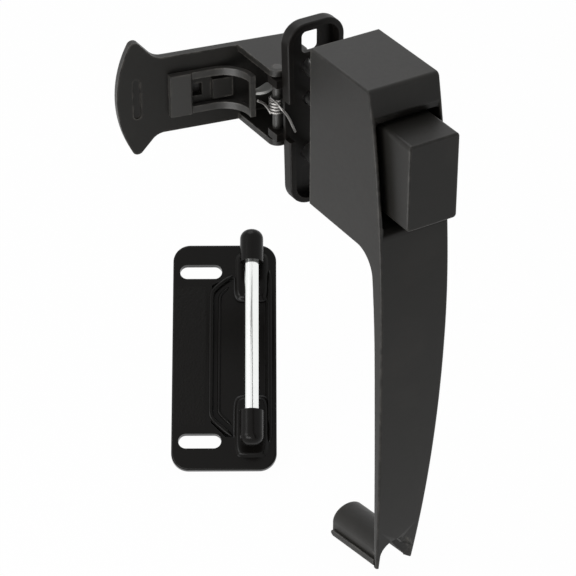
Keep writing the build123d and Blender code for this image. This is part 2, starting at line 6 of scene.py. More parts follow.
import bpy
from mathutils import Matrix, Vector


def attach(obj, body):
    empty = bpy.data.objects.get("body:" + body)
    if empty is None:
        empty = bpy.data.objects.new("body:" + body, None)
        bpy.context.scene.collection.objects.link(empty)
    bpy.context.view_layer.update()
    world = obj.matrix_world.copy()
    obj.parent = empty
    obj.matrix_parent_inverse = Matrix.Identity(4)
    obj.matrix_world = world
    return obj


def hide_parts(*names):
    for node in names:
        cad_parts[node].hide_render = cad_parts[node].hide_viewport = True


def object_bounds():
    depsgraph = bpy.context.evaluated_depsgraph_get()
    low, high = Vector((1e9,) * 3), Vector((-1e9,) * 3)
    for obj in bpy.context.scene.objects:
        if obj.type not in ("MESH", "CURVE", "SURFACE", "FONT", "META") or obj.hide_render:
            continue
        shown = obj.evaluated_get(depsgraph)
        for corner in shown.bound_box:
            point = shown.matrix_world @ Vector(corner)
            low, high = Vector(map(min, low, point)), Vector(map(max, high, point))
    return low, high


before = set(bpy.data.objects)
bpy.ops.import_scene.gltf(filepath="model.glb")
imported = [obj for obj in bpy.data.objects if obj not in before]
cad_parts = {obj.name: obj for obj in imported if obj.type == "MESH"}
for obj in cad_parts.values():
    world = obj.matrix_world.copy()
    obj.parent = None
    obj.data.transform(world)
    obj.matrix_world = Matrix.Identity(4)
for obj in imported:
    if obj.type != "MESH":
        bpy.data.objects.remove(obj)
CAD_BOX = [list(corner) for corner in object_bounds()]

import logging
import math
from collections.abc import Callable, Mapping, Sequence
from dataclasses import dataclass, field
from enum import Enum
from typing import Any

import bmesh
import bpy
import numpy as np
from mathutils import Vector

log = logging.getLogger("storm_door_latch")
MM = 0.001
Pair = tuple[float, float]
Point = tuple[float, float, float]
Colour = tuple[float, float, float]
WHITE = (1.0, 1.0, 1.0, 1.0)
ORIGIN: Point = (0.0, 0.0, 0.0)
RIGHT: Point = (1.0, 0.0, 0.0)
INWARD: Point = (0.0, 1.0, 0.0)
UP: Point = (0.0, 0.0, 1.0)
# Share of a side that corner cutting takes off at either end.
CORNER_CUT = 0.25
# Points of a solid's mesh that lie nearer than this are one point.
MERGE_DISTANCE = 0.002 * MM
# Rays of an edge mask, and how strongly the surface's turning shows in it.
EDGE_SAMPLES = 4
EDGE_GAIN = 6.0
# A wire's ends are this share of its radius, and no wire of the latch follows this direction.
WIRE_END = 0.6
OFF_WIRES: Point = (0.45, 0.62, 0.64)
# Degrees of turning above which an edge stays sharp.
WIRE_CREASE = 60.0
SLAB_CREASE = 40.0


class Finish(Enum):
    """Finishes that the latch's pieces are given."""

    SATIN_CASTING = "satin black casting"
    PLATE_CASTING = "satin black plate"
    SATIN_STEEL = "satin black steel"
    # Pale steel, painted lighter than the tongue's own grey.
    TONGUE_STEEL = "pale steel with painted light"
    GLOSS_CASTING = "gloss black casting"
    GLOSS_PLASTIC = "gloss black plastic"
    ZINC = "zinc plated steel"
    SPRING_WIRE = "spring wire"
    CHROME = "chrome"
    NYLON = "natural nylon"


class Num:
    """A number that varies over a surface: one node socket with arithmetic."""

    def __init__(self, nodes: "Nodes", socket: bpy.types.NodeSocket) -> None:
        """Keep the socket and the tree that it belongs to."""
        self.nodes = nodes
        self.socket = socket

    def _math(self, operation: str, *values: "Num | float", clamp: bool = False) -> "Num":
        """Add one Math node.

        Args:
            operation: the Math node's operation.
            values: its inputs in order, sockets or numbers.
            clamp: whether the result is kept between 0 and 1.

        Returns:
            The node's result.
        """
        settings = {"operation": operation, "use_clamp": clamp}
        node = self.nodes.add("ShaderNodeMath", settings, dict(enumerate(values)))
        return Num(self.nodes, node.outputs[0])

    def __add__(self, other: "Num | float") -> "Num":
        """Sum."""
        return self._math("ADD", self, other)

    __radd__ = __add__

    def __mul__(self, other: "Num | float") -> "Num":
        """Product."""
        return self._math("MULTIPLY", self, other)

    __rmul__ = __mul__

    def __sub__(self, other: "Num | float") -> "Num":
        """Difference."""
        return self._math("SUBTRACT", self, other)

    def __rsub__(self, other: "Num | float") -> "Num":
        """Difference with the number first."""
        return self._math("SUBTRACT", other, self)

    def centred(self) -> "Num":
        """A noise of 0 to 1, moved down so that it lies about 0."""
        return self - 0.5

    def clamped(self) -> "Num":
        """The value kept between 0 and 1."""
        return self._math("ADD", self, 0.0, clamp=True)

    def times(self, other: "Num | float") -> "Num":
        """Product kept between 0 and 1."""
        return self._math("MULTIPLY", self, other, clamp=True)

    def step(self, low: float, high: float) -> "Num":
        """Rise smoothly from 0 at low to 1 at high.

        Args:
            low: value at which the result is 0.
            high: value at which the result is 1; below low it falls instead.

        Returns:
            The smoothed share.
        """
        settings = {"interpolation_type": "SMOOTHSTEP"}
        inputs = {"Value": self, "From Min": low, "From Max": high}
        node = self.nodes.add("ShaderNodeMapRange", settings, inputs)
        return Num(self.nodes, node.outputs[0])


class Nodes:
    """A node tree, with a single method that makes every node."""

    def __init__(self, owner: bpy.types.Material | bpy.types.World) -> None:
        """Empty the owner's node tree."""
        owner.use_nodes = True
        self.tree = owner.node_tree
        self.tree.nodes.clear()

    def add(self, kind: str, settings: Mapping[str, Any], inputs: Mapping[Any, Any]) -> bpy.types.Node:
        """Make a node.

        Args:
            kind: the node's type.
            settings: attributes, set before the sockets.
            inputs: socket name or number to a value, a socket or a Num.

        Returns:
            The new node.
        """
        node = self.tree.nodes.new(kind)
        for key, value in settings.items():
            setattr(node, key, value)
        for key, value in inputs.items():
            source = value.socket if isinstance(value, Num) else value
            if isinstance(source, bpy.types.NodeSocket):
                self.tree.links.new(source, node.inputs[key])
            else:
                node.inputs[key].default_value = source
        return node

    def seen_directly(self) -> Num:
        """Whether the eye meets the surface directly or through a reflection.

        Returns:
            1 for camera, glossy and transmission rays, 0 for the rest.
        """
        light_path = self.add("ShaderNodeLightPath", {}, {})
        names = ("Is Camera Ray", "Is Glossy Ray", "Is Transmission Ray")
        rays = [Num(self, light_path.outputs[name]) for name in names]
        return (rays[0] + rays[1] + rays[2]).clamped()


class Shader(Nodes):
    """One material's nodes."""

    def __init__(self, name: str) -> None:
        """Start an empty material of this name."""
        self.material = bpy.data.materials.new(name)
        super().__init__(self.material)

    def place(self) -> bpy.types.NodeSocket:
        """Object coordinates, which are the part's own, in metres."""
        return self.add("ShaderNodeTexCoord", {}, {}).outputs["Object"]

    def along(self, direction: Point, origin: Point = ORIGIN) -> Num:
        """Distance from an origin along a direction.

        Args:
            direction: unit vector.
            origin: point where the distance is 0.

        Returns:
            The distance in metres.
        """
        settings = {"operation": "DOT_PRODUCT"}
        node = self.add("ShaderNodeVectorMath", settings, {0: self.place(), 1: direction})
        shift = sum(a * b for a, b in zip(direction, origin, strict=True))
        return Num(self, node.outputs["Value"]) - shift

    def noise(self, scale: float, detail: float = 3.0, roughness: float = 0.5) -> Num:
        """Soft noise from 0 to 1 on object coordinates.

        Args:
            scale: features per metre.
            detail: octaves.
            roughness: share of the finer octaves.

        Returns:
            The noise.
        """
        inputs = {"Vector": self.place(), "Scale": scale, "Detail": detail, "Roughness": roughness}
        return Num(self, self.add("ShaderNodeTexNoise", {}, inputs).outputs[0])

    def stretched_noise(self, scale: Point, detail: float = 2.0) -> Num:
        """Noise drawn out along one axis, as brush lines are.

        Args:
            scale: features per metre along X, Y and Z.
            detail: octaves.

        Returns:
            The noise.
        """
        mapping = self.add("ShaderNodeMapping", {}, {"Vector": self.place(), "Scale": scale})
        inputs = {"Vector": mapping.outputs[0], "Scale": 1.0, "Detail": detail}
        return Num(self, self.add("ShaderNodeTexNoise", {}, inputs).outputs[0])

    def cells(self, scale: float) -> Num:
        """Distance to the nearest of many scattered points, as pebbles lie.

        Args:
            scale: cells per metre.

        Returns:
            The distance in cells.
        """
        inputs = {"Vector": self.place(), "Scale": scale}
        return Num(self, self.add("ShaderNodeTexVoronoi", {}, inputs).outputs["Distance"])

    def edge(self, radius: float) -> Num:
        """How far the surface turns within a small radius: 0 on flats, more at edges.

        Args:
            radius: reach in metres.

        Returns:
            The share.
        """
        bevel = self.add("ShaderNodeBevel", {"samples": EDGE_SAMPLES}, {"Radius": radius})
        normal = self.add("ShaderNodeNewGeometry", {}, {}).outputs["Normal"]
        settings = {"operation": "DOT_PRODUCT"}
        dot = self.add("ShaderNodeVectorMath", settings, {0: bevel.outputs[0], 1: normal})
        return (1.0 - Num(self, dot.outputs["Value"])).times(EDGE_GAIN)

    def blend(self, share: Num, first: Colour, second: Colour) -> bpy.types.NodeSocket:
        """Mix two colours.

        Args:
            share: 0 for the first colour, 1 for the second.
            first: linear red, green and blue.
            second: linear red, green and blue.

        Returns:
            The mixed colour.
        """
        # A Mix node of colours has its colour inputs at 6 and 7 and its colour result at 2.
        inputs = {"Factor": share, 6: (*first, 1.0), 7: (*second, 1.0)}
        return self.add("ShaderNodeMix", {"data_type": "RGBA"}, inputs).outputs[2]

    def bump(self, height: Num, distance: float, strength: float) -> bpy.types.NodeSocket:
        """Raise the surface by a height.

        Args:
            height: 0 to 1.
            distance: metres that a height of 1 stands up.
            strength: share of the effect.

        Returns:
            The bent normal.
        """
        inputs = {"Height": height, "Distance": distance, "Strength": strength}
        return self.add("ShaderNodeBump", {}, inputs).outputs[0]

    def surface(self, inputs: Mapping[str, Any]) -> bpy.types.Material:
        """Close the material with a Principled shader.

        Args:
            inputs: the shader's sockets by name.

        Returns:
            The finished material.
        """
        shader = self.add("ShaderNodeBsdfPrincipled", {}, inputs)
        self.add("ShaderNodeOutputMaterial", {}, {"Surface": shader.outputs[0]})
        return self.material


@dataclass(frozen=True)
class SatinPaint:
    """Satin black paint on a casting or on steel: fine orange peel, and edges lightened by rubbed wear
    and a painted highlight.
    """

    name: str
    colour: Colour = (0.0095, 0.0089, 0.0078)
    # Edge colour: rubbed wear and a painted edge highlight.
    wear_and_highlight: Colour = (0.075, 0.070, 0.062)
    roughness: float = 0.42
    specular: float = 0.22
    cloud_scale: float = 60.0
    cloud_share: float = 0.25
    cloud_roughness: float = 0.10
    edge_reach: float = 1.0 * MM
    patch_scale: float = 350.0
    patch_detail: float = 4.0
    patch_fineness: float = 0.6
    patch_range: Pair = (0.35, 0.65)
    peel_scale: float = 900.0
    peel_detail: float = 2.0
    peel_fineness: float = 0.45
    peel_height: float = 0.012 * MM
    peel_strength: float = 0.6
    peel_roughness: float = 0.10
    peel_offset: float = 0.06

    def material(self) -> bpy.types.Material:
        """Build the paint: a wide cloud and lighter edges in the colour, partly rubbed wear and partly
        painted highlight, peel in the bump.

        Returns:
            The material.
        """
        shader = Shader(self.name)
        cloud = shader.noise(self.cloud_scale).centred()
        peel = shader.noise(self.peel_scale, self.peel_detail, self.peel_fineness)
        patches = shader.noise(self.patch_scale, self.patch_detail, self.patch_fineness)
        # Painted highlight: the edge mask lightens rounded edges as if light caught them, together with
        # patches of rubbed wear.
        edge_wear_and_highlight = shader.edge(self.edge_reach) * patches.step(*self.patch_range)
        wear_and_highlight = (edge_wear_and_highlight + cloud * self.cloud_share).clamped()
        base = self.roughness - self.peel_offset
        return shader.surface(
            {
                "Base Color": shader.blend(wear_and_highlight, self.colour, self.wear_and_highlight),
                "Roughness": cloud * self.cloud_roughness + base + peel * self.peel_roughness,
                "Specular IOR Level": self.specular,
                "Normal": shader.bump(peel, self.peel_height, self.peel_strength),
            }
        )


@dataclass(frozen=True)
class GlossPaint:
    """Gloss black with a soft ripple, and a pebbled field where a mask says so."""

    name: str
    colour: Colour = (0.0040, 0.0036, 0.0032)
    # Edge colour: rubbed wear and a painted edge highlight.
    rubbed_and_highlit: Colour = (0.02, 0.02, 0.02)
    edge_reach: float = 0.35 * MM
    roughness: float = 0.20
    specular: float = 0.12
    ripple_scale: float = 260.0
    ripple_detail: float = 2.0
    ripple_share: float = 0.25
    ripple_roughness: float = 0.06
    pebble: Callable[[Shader], Num] | None = None
    pebble_scale: float = 1500.0
    pebble_height: float = 0.10 * MM
    pebble_roughness: float = 0.16
    bump_strength: float = 0.8

    def material(self) -> bpy.types.Material:
        """Build the paint: ripple and pebbles in the bump, the pebbles a little rougher.

        Returns:
            The material.
        """
        shader = Shader(self.name)
        ripple = shader.noise(self.ripple_scale, self.ripple_detail)
        height = ripple * self.ripple_share
        rough = ripple.centred() * self.ripple_roughness + self.roughness
        if self.pebble is not None:
            pebbled = self.pebble(shader)
            grain = shader.cells(self.pebble_scale)
            height = height + (1.0 - grain) * pebbled
            rough = rough + pebbled * self.pebble_roughness
        # Painted highlight: edges lighter in the colour, partly rubbed wear and partly the light that
        # catches them.
        edge_wear_and_highlight = shader.edge(self.edge_reach)
        return shader.surface(
            {
                "Base Color": shader.blend(edge_wear_and_highlight, self.colour, self.rubbed_and_highlit),
                "Roughness": rough,
                "Specular IOR Level": self.specular,
                "Normal": shader.bump(height, self.pebble_height, self.bump_strength),
            }
        )


@dataclass(frozen=True)
class Metal:
    """Bare metal: plated, drawn or polished, with lines along one axis."""

    name: str
    colour: Colour
    roughness: float
    line_scale: Point
    line_depth: float = 0.004 * MM
    line_strength: float = 0.5
    unevenness: float = 0.10
    dulled: float = 0.72
    cloud_scale: float = 240.0
    cloud_range: Pair = (0.35, 0.75)
    cloud_share: float = 0.5

    def material(self) -> bpy.types.Material:
        """Build the metal: duller clouds in the colour, lines and clouds in the roughness.

        Returns:
            The material.
        """
        shader = Shader(self.name)
        lines = shader.stretched_noise(self.line_scale)
        cloud = shader.noise(self.cloud_scale)
        dull = tuple(self.dulled * value for value in self.colour)
        dulling = cloud.step(*self.cloud_range) * self.cloud_share
        uneven = lines.centred() * self.unevenness + cloud.centred() * self.unevenness
        return shader.surface(
            {
                "Base Color": shader.blend(dulling, self.colour, dull),
                "Metallic": 1.0,
                "Roughness": uneven + self.roughness,
                "Normal": shader.bump(lines, self.line_depth, self.line_strength),
            }
        )


@dataclass(frozen=True)
class Nylon:
    """Natural nylon, slightly mottled."""

    name: str
    colour: Colour = (0.62, 0.61, 0.56)
    mottled: Colour = (0.5, 0.49, 0.43)
    roughness: float = 0.38
    mottle_scale: float = 500.0
    mottle_roughness: float = 0.1
    mottle_height: float = 0.01 * MM
    mottle_strength: float = 0.4

    def material(self) -> bpy.types.Material:
        """Build the nylon: one mottle in the colour, the roughness and the bump.

        Returns:
            The material.
        """
        shader = Shader(self.name)
        mottle = shader.noise(self.mottle_scale)
        return shader.surface(
            {
                "Base Color": shader.blend(mottle, self.colour, self.mottled),
                "Roughness": mottle * self.mottle_roughness + self.roughness,
                "Normal": shader.bump(mottle, self.mottle_height, self.mottle_strength),
            }
        )


def made_piece(
    name: str, points: np.ndarray, faces: list[tuple[int, ...]], sharp: float
) -> bpy.types.Object:
    """Put points and faces into a smooth-shaded object at the origin.

    Args:
        name: the piece's name.
        points: one row of three coordinates for each point, in metres.
        faces: the points' numbers round each face, seen from outside.
        sharp: edges that turn by more than these degrees stay sharp.

    Returns:
        The new object.
    """
    mesh = bpy.data.meshes.new(name)
    mesh.from_pydata(points.tolist(), [], faces)
    mesh.validate()
    shell = bmesh.new()
    shell.from_mesh(mesh)
    bmesh.ops.recalc_face_normals(shell, faces=shell.faces)
    shell.to_mesh(mesh)
    shell.free()
    mesh.shade_smooth()
    mesh.set_sharp_from_angle(angle=math.radians(sharp))
    piece = bpy.data.objects.new(name, mesh)
    bpy.context.scene.collection.objects.link(piece)
    return piece


def ring_faces(rows: int, columns: int) -> list[tuple[int, ...]]:
    """Quads between closed rings of points, with a flat face over the first and the last ring.

    Args:
        rows: number of rings.
        columns: points in each ring.

    Returns:
        The faces.
    """
    row, column = np.meshgrid(np.arange(rows - 1), np.arange(columns), indexing="ij")
    following = (column + 1) % columns
    corners = (
        row * columns + column,
        row * columns + following,
        (row + 1) * columns + following,
        (row + 1) * columns + column,
    )
    quads = [tuple(face) for face in np.stack([c.ravel() for c in corners], axis=1).tolist()]
    first = tuple(range(columns - 1, -1, -1))
    last = tuple(range((rows - 1) * columns, rows * columns))
    return [first, *quads, last]


def softened(points: Sequence[Sequence[float]], rounds: int) -> np.ndarray:
    """Corner cutting: each round puts two points on every side, a quarter and three quarters along.

    Args:
        points: the line's corners.
        rounds: how many times its corners are cut.

    Returns:
        The smooth line, with the same two ends.
    """
    line = np.array(points, float)
    for _ in range(rounds):
        start, end = line[:-1], line[1:]
        near = (1.0 - CORNER_CUT) * start + CORNER_CUT * end
        far = CORNER_CUT * start + (1.0 - CORNER_CUT) * end
        cut = np.stack([near, far], axis=1)
        line = np.concatenate([line[:1], cut.reshape(-1, line.shape[1]), line[-1:]])
    return line


def rectangle(low: Pair, high: Pair) -> np.ndarray:
    """Corners of a rectangle, anticlockwise from its lower left one.

    Args:
        low: its lower left corner.
        high: its upper right corner.

    Returns:
        One row for each corner.
    """
    return np.array([low, (high[0], low[1]), high, (low[0], high[1])])


def tube(name: str, line: np.ndarray, radius: float, sides: int = 16) -> bpy.types.Object:
    """Round wire: a circle of the radius, square to the line at each of its points, with dulled ends.

    Args:
        name: the piece's name.
        line: points along its middle.
        radius: half the wire's thickness, in metres.
        sides: points round it.

    Returns:
        The wire.
    """
    along = np.gradient(line, axis=0)
    along /= np.linalg.norm(along, axis=1, keepdims=True)
    side = np.cross(along, np.array(OFF_WIRES))
    side /= np.linalg.norm(side, axis=1, keepdims=True)
    other = np.cross(along, side)
    turn = np.linspace(0.0, 2.0 * math.pi, sides, endpoint=False)
    reach = np.full(len(line), radius)
    reach[[0, -1]] *= WIRE_END
    rightwards = np.cos(turn)[None, :, None] * side[:, None, :]
    upwards = np.sin(turn)[None, :, None] * other[:, None, :]
    points = line[:, None, :] + reach[:, None, None] * (rightwards + upwards)
    return made_piece(name, points.reshape(-1, 3), ring_faces(len(line), sides), WIRE_CREASE)


def slab(
    name: str, outline: np.ndarray, origin: Point, axes: Sequence[Point], span: Point
) -> bpy.types.Object:
    """Flat piece: one outline at two levels, drawn in a little next to each to dull its edges.

    Args:
        name: the piece's name.
        outline: corners in the plane of the first two axes, in metres.
        origin: where the plane's zero is.
        axes: three unit vectors, the third across the thickness.
        span: lower level, upper level and the width of the dulled edge.

    Returns:
        The piece.
    """
    low, high, dulled = span
    inward = outline.mean(axis=0) - outline
    inward *= dulled / np.linalg.norm(inward, axis=1, keepdims=True)
    rings = [
        (outline + inward, low),
        (outline, low + dulled),
        (outline, high - dulled),
        (outline + inward, high),
    ]
    across, up, out = (np.array(axis) for axis in axes)
    points = [
        np.array(origin) + ring[:, :1] * across + ring[:, 1:] * up + level * out
        for ring, level in rings
    ]
    faces = ring_faces(len(rings), len(outline))
    return made_piece(name, np.concatenate(points), faces, SLAB_CREASE)


def merged_copy(name: str, node: str) -> bpy.types.Object:
    """A copy of a CAD node whose doubled points are merged.

    Args:
        name: the copy's name.
        node: the node that it copies.

    Returns:
        The copy.
    """
    shell = bmesh.new()
    shell.from_mesh(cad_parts[node].data)
    bmesh.ops.remove_doubles(shell, verts=shell.verts, dist=MERGE_DISTANCE)
    mesh = bpy.data.meshes.new(name)
    shell.to_mesh(mesh)
    shell.free()
    piece = bpy.data.objects.new(name, mesh)
    bpy.context.scene.collection.objects.link(piece)
    return piece


def points_of(piece: bpy.types.Object) -> np.ndarray:
    """The piece's points.

    Args:
        piece: an object with a mesh.

    Returns:
        One row of three coordinates for each point.
    """
    points = np.empty(3 * len(piece.data.vertices), np.float32)
    piece.data.vertices.foreach_get("co", points)
    return points.reshape(-1, 3).astype(float)


def move_points(piece: bpy.types.Object, points: np.ndarray, sharp: float) -> None:
    """Put a new piece's points elsewhere and shade it again.

    Args:
        piece: the new piece.
        points: its points' new places, one row each.
        sharp: edges that turn by more than these degrees stay sharp.
    """
    mesh = piece.data
    mesh.vertices.foreach_set("co", points.ravel())
    mesh.update()
    mesh.shade_smooth()
    mesh.set_sharp_from_angle(angle=math.radians(sharp))


@dataclass
class StrikeFrame:
    """Where the strike stands, its directions, and the forms that are pressed into it."""

    foot: Point = (-18.6 * MM, 41.2 * MM, -148.0 * MM)
    yaw: float = 31.0
    rise: float = 53.0
    field_left: float = -16.0 * MM
    field_right: float = -5.4 * MM
    field_bottom: float = 15.0 * MM
    field_top: float = 64.0 * MM
    field_soft: float = 1.5 * MM
    thickness: float = 2.4 * MM
    trough_floor: float = 1.4 * MM
    sunk: float = 0.25 * MM
    crease: float = 50.0
    bead_steps: int = 13
    bead_rounds: int = 4
    bead_run_out: float = 3.0
    bead_end: float = 0.02
    boss_steps: int = 48
    boss_rings: tuple[float, ...] = (1.0, 0.97, 0.92, 0.86, 0.80, 0.75, 0.70)
    boss_slope: float = 0.26
    squareness: float = 0.35

    @property
    def across(self) -> Point:
        """Unit vector to the strike's right."""
        return (math.cos(math.radians(self.yaw)), -math.sin(math.radians(self.yaw)), 0.0)

    @property
    def out(self) -> Point:
        """Unit vector out of the strike's face."""
        yaw, rise = math.radians(self.yaw), math.radians(self.rise)
        return (-math.sin(yaw) * math.cos(rise), -math.cos(yaw) * math.cos(rise), math.sin(rise))

    @property
    def up(self) -> Point:
        """Unit vector up the strike's face."""
        return tuple(Vector(self.out).cross(Vector(self.across)))

    def place(self, plan: np.ndarray, height: np.ndarray) -> np.ndarray:
        """Points given across, up and above the strike's face, in the part's frame.

        Args:
            plan: rows of across and up, in metres.
            height: how far each point stands above the back.

        Returns:
            Rows of three coordinates.
        """
        across, up, out = (np.array(axis) for axis in (self.across, self.up, self.out))
        return np.array(self.foot) + plan[:, :1] * across + plan[:, 1:] * up + height[:, None] * out

    def bead(
        self, name: str, corners: Sequence[Pair], size: Pair, level: float
    ) -> bpy.types.Object:
        """Pressed bead: a half-ellipse profile carried along a line, run out flat at both ends.

        Its width and height grow with the square root of the distance from the nearer end, up to
        full size a few half widths along.

        Args:
            name: the bead's name.
            corners: the line's corners, across and up, in millimetres.
            size: half its width, and its height, in metres.
            level: the face that it stands on, above the strike's back, in metres.

        Returns:
            The bead.
        """
        half, rise = size
        line = softened(corners, self.bead_rounds) * MM
        along = np.gradient(line, axis=0)
        along /= np.linalg.norm(along, axis=1, keepdims=True)
        side = np.stack([along[:, 1], -along[:, 0]], axis=1)
        run = np.concatenate([[0.0], np.cumsum(np.linalg.norm(np.diff(line, axis=0), axis=1))])
        end = np.minimum(run, run[-1] - run) / (self.bead_run_out * half)
        full = np.sqrt(np.clip(end, 0.0, 1.0)) * (1.0 - self.bead_end) + self.bead_end
        turn = np.linspace(0.0, math.pi, self.bead_steps)
        across = np.cos(turn)[None, :, None] * half * full[:, None, None] * side[:, None, :]
        plan = line[:, None, :] + across
        height = level - self.sunk + (rise + self.sunk) * np.sin(turn)[None, :] * full[:, None]
        points = self.place(plan.reshape(-1, 2), height.ravel())
        return made_piece(name, points, ring_faces(len(line), self.bead_steps), self.crease)

    def boss(self, name: str, middle: Pair, halves: Pair, rise: float) -> bpy.types.Object:
        """Pressed boss: rounded squares one inside the next, whose height eases up to a flat top.

        The height follows three times the square less twice the cube of the way up the slope.

        Args:
            name: the boss's name.
            middle: its middle, across and up, in metres.
            halves: half its width and half its height, in metres.
            rise: how high it stands above the plate, in metres.

        Returns:
            The boss.
        """
        share = np.array(self.boss_rings)
        ease = np.clip((1.0 - share) / self.boss_slope, 0.0, 1.0)
        height = self.thickness - self.sunk + (rise + self.sunk) * ease * ease * (3.0 - 2.0 * ease)
        turn = np.linspace(0.0, 2.0 * math.pi, self.boss_steps, endpoint=False)
        round_x = np.sign(np.cos(turn)) * np.abs(np.cos(turn)) ** self.squareness
        round_y = np.sign(np.sin(turn)) * np.abs(np.sin(turn)) ** self.squareness
        shrink = halves[0] * (1.0 - share)[:, None]
        plan_x = middle[0] + (halves[0] - shrink) * round_x[None, :]
        plan_y = middle[1] + (halves[1] - shrink) * round_y[None, :]
        plan = np.stack([plan_x.ravel(), plan_y.ravel()], axis=1)
        points = self.place(plan, np.repeat(height, len(turn)))
        return made_piece(name, points, ring_faces(len(share), len(turn)), self.crease)

    def field(self, shader: Shader) -> Num:
        """Mask of the pebbled field left of the trough.

        Args:
            shader: the material that the mask is for.

        Returns:
            1 on the field, 0 outside it, with soft borders.
        """
        x = shader.along(self.across, self.foot)
        y = shader.along(self.up, self.foot)
        soft = self.field_soft
        left = x.step(self.field_left - soft, self.field_left)
        right = x.step(self.field_right, self.field_right - soft)
        bottom = y.step(self.field_bottom - soft, self.field_bottom + soft)
        top = y.step(self.field_top + soft, self.field_top - soft)
        return left * right * bottom * top


@dataclass
class Finishes:
    """Every finish of the latch, made once."""

    strike: StrikeFrame = field(default_factory=StrikeFrame)
    made: dict[Finish, bpy.types.Material] = field(default_factory=dict)

    def build(self) -> None:
        """Make each material."""
        recipes = {
            Finish.SATIN_CASTING: SatinPaint("satin_black_casting"),
            # Darker than the handle's paint: partly a darker casting and partly painted shade for the
            # plate's shadowed dish.
            Finish.PLATE_CASTING: SatinPaint(
                "satin_black_plate",
                colour=(0.0055, 0.0048, 0.0042),
                wear_and_highlight=(0.016, 0.014, 0.012),
                specular=0.14,
            ),
            # Painted light: the tongue's steel is made lighter than its own grey so that it reads lit
            # where it lies in the upper flange's shade.
            Finish.TONGUE_STEEL: SatinPaint(
                "pale_steel_with_painted_light",
                colour=(0.46, 0.46, 0.44),
                wear_and_highlight=(0.60, 0.60, 0.58),
                roughness=0.5,
                specular=0.4,
            ),
            Finish.SATIN_STEEL: SatinPaint(
                "satin_black_steel",
                colour=(0.030, 0.029, 0.027),
                roughness=0.40,
                specular=0.32,
                peel_scale=1400.0,
            ),
            Finish.GLOSS_CASTING: GlossPaint("gloss_black_casting", pebble=self.strike.field),
            Finish.GLOSS_PLASTIC: GlossPaint("gloss_black_plastic", roughness=0.25),
            Finish.ZINC: Metal(
                "zinc_plated_steel",
                colour=(0.50, 0.50, 0.49),
                roughness=0.34,
                line_scale=(400.0, 60.0, 400.0),
            ),
            Finish.SPRING_WIRE: Metal(
                "spring_wire",
                colour=(0.30, 0.29, 0.28),
                roughness=0.34,
                line_scale=(900.0, 900.0, 900.0),
            ),
            Finish.CHROME: Metal(
                "chrome",
                colour=(0.90, 0.92, 0.90),
                roughness=0.16,
                line_scale=(500.0, 500.0, 500.0),
                line_depth=0.0005 * MM,
                unevenness=0.02,
                dulled=0.96,
            ),
            Finish.NYLON: Nylon("natural_nylon"),
        }
        self.made = {key: recipe.material() for key, recipe in recipes.items()}

    def coat(self, piece: bpy.types.Object, body: str, finish: Finish) -> None:
        """Finish a new piece and let it ride on its body.

        Args:
            piece: the new piece.
            body: the body that carries it.
            finish: its finish.
        """
        piece.data.materials.append(self.made[finish])
        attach(piece, body)
        log.info("%s: %s, on %s", piece.name, finish.value, body)

    def dress(self, nodes: Sequence[str], finish: Finish) -> None:
        """Give CAD nodes a finish.

        Args:
            nodes: names of the nodes.
            finish: the finish that they all take.
        """
        for name in nodes:
            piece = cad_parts[name]
            for slot in piece.material_slots:
                slot.material = self.made[finish]
            log.info("%s: %s", name, finish.value)


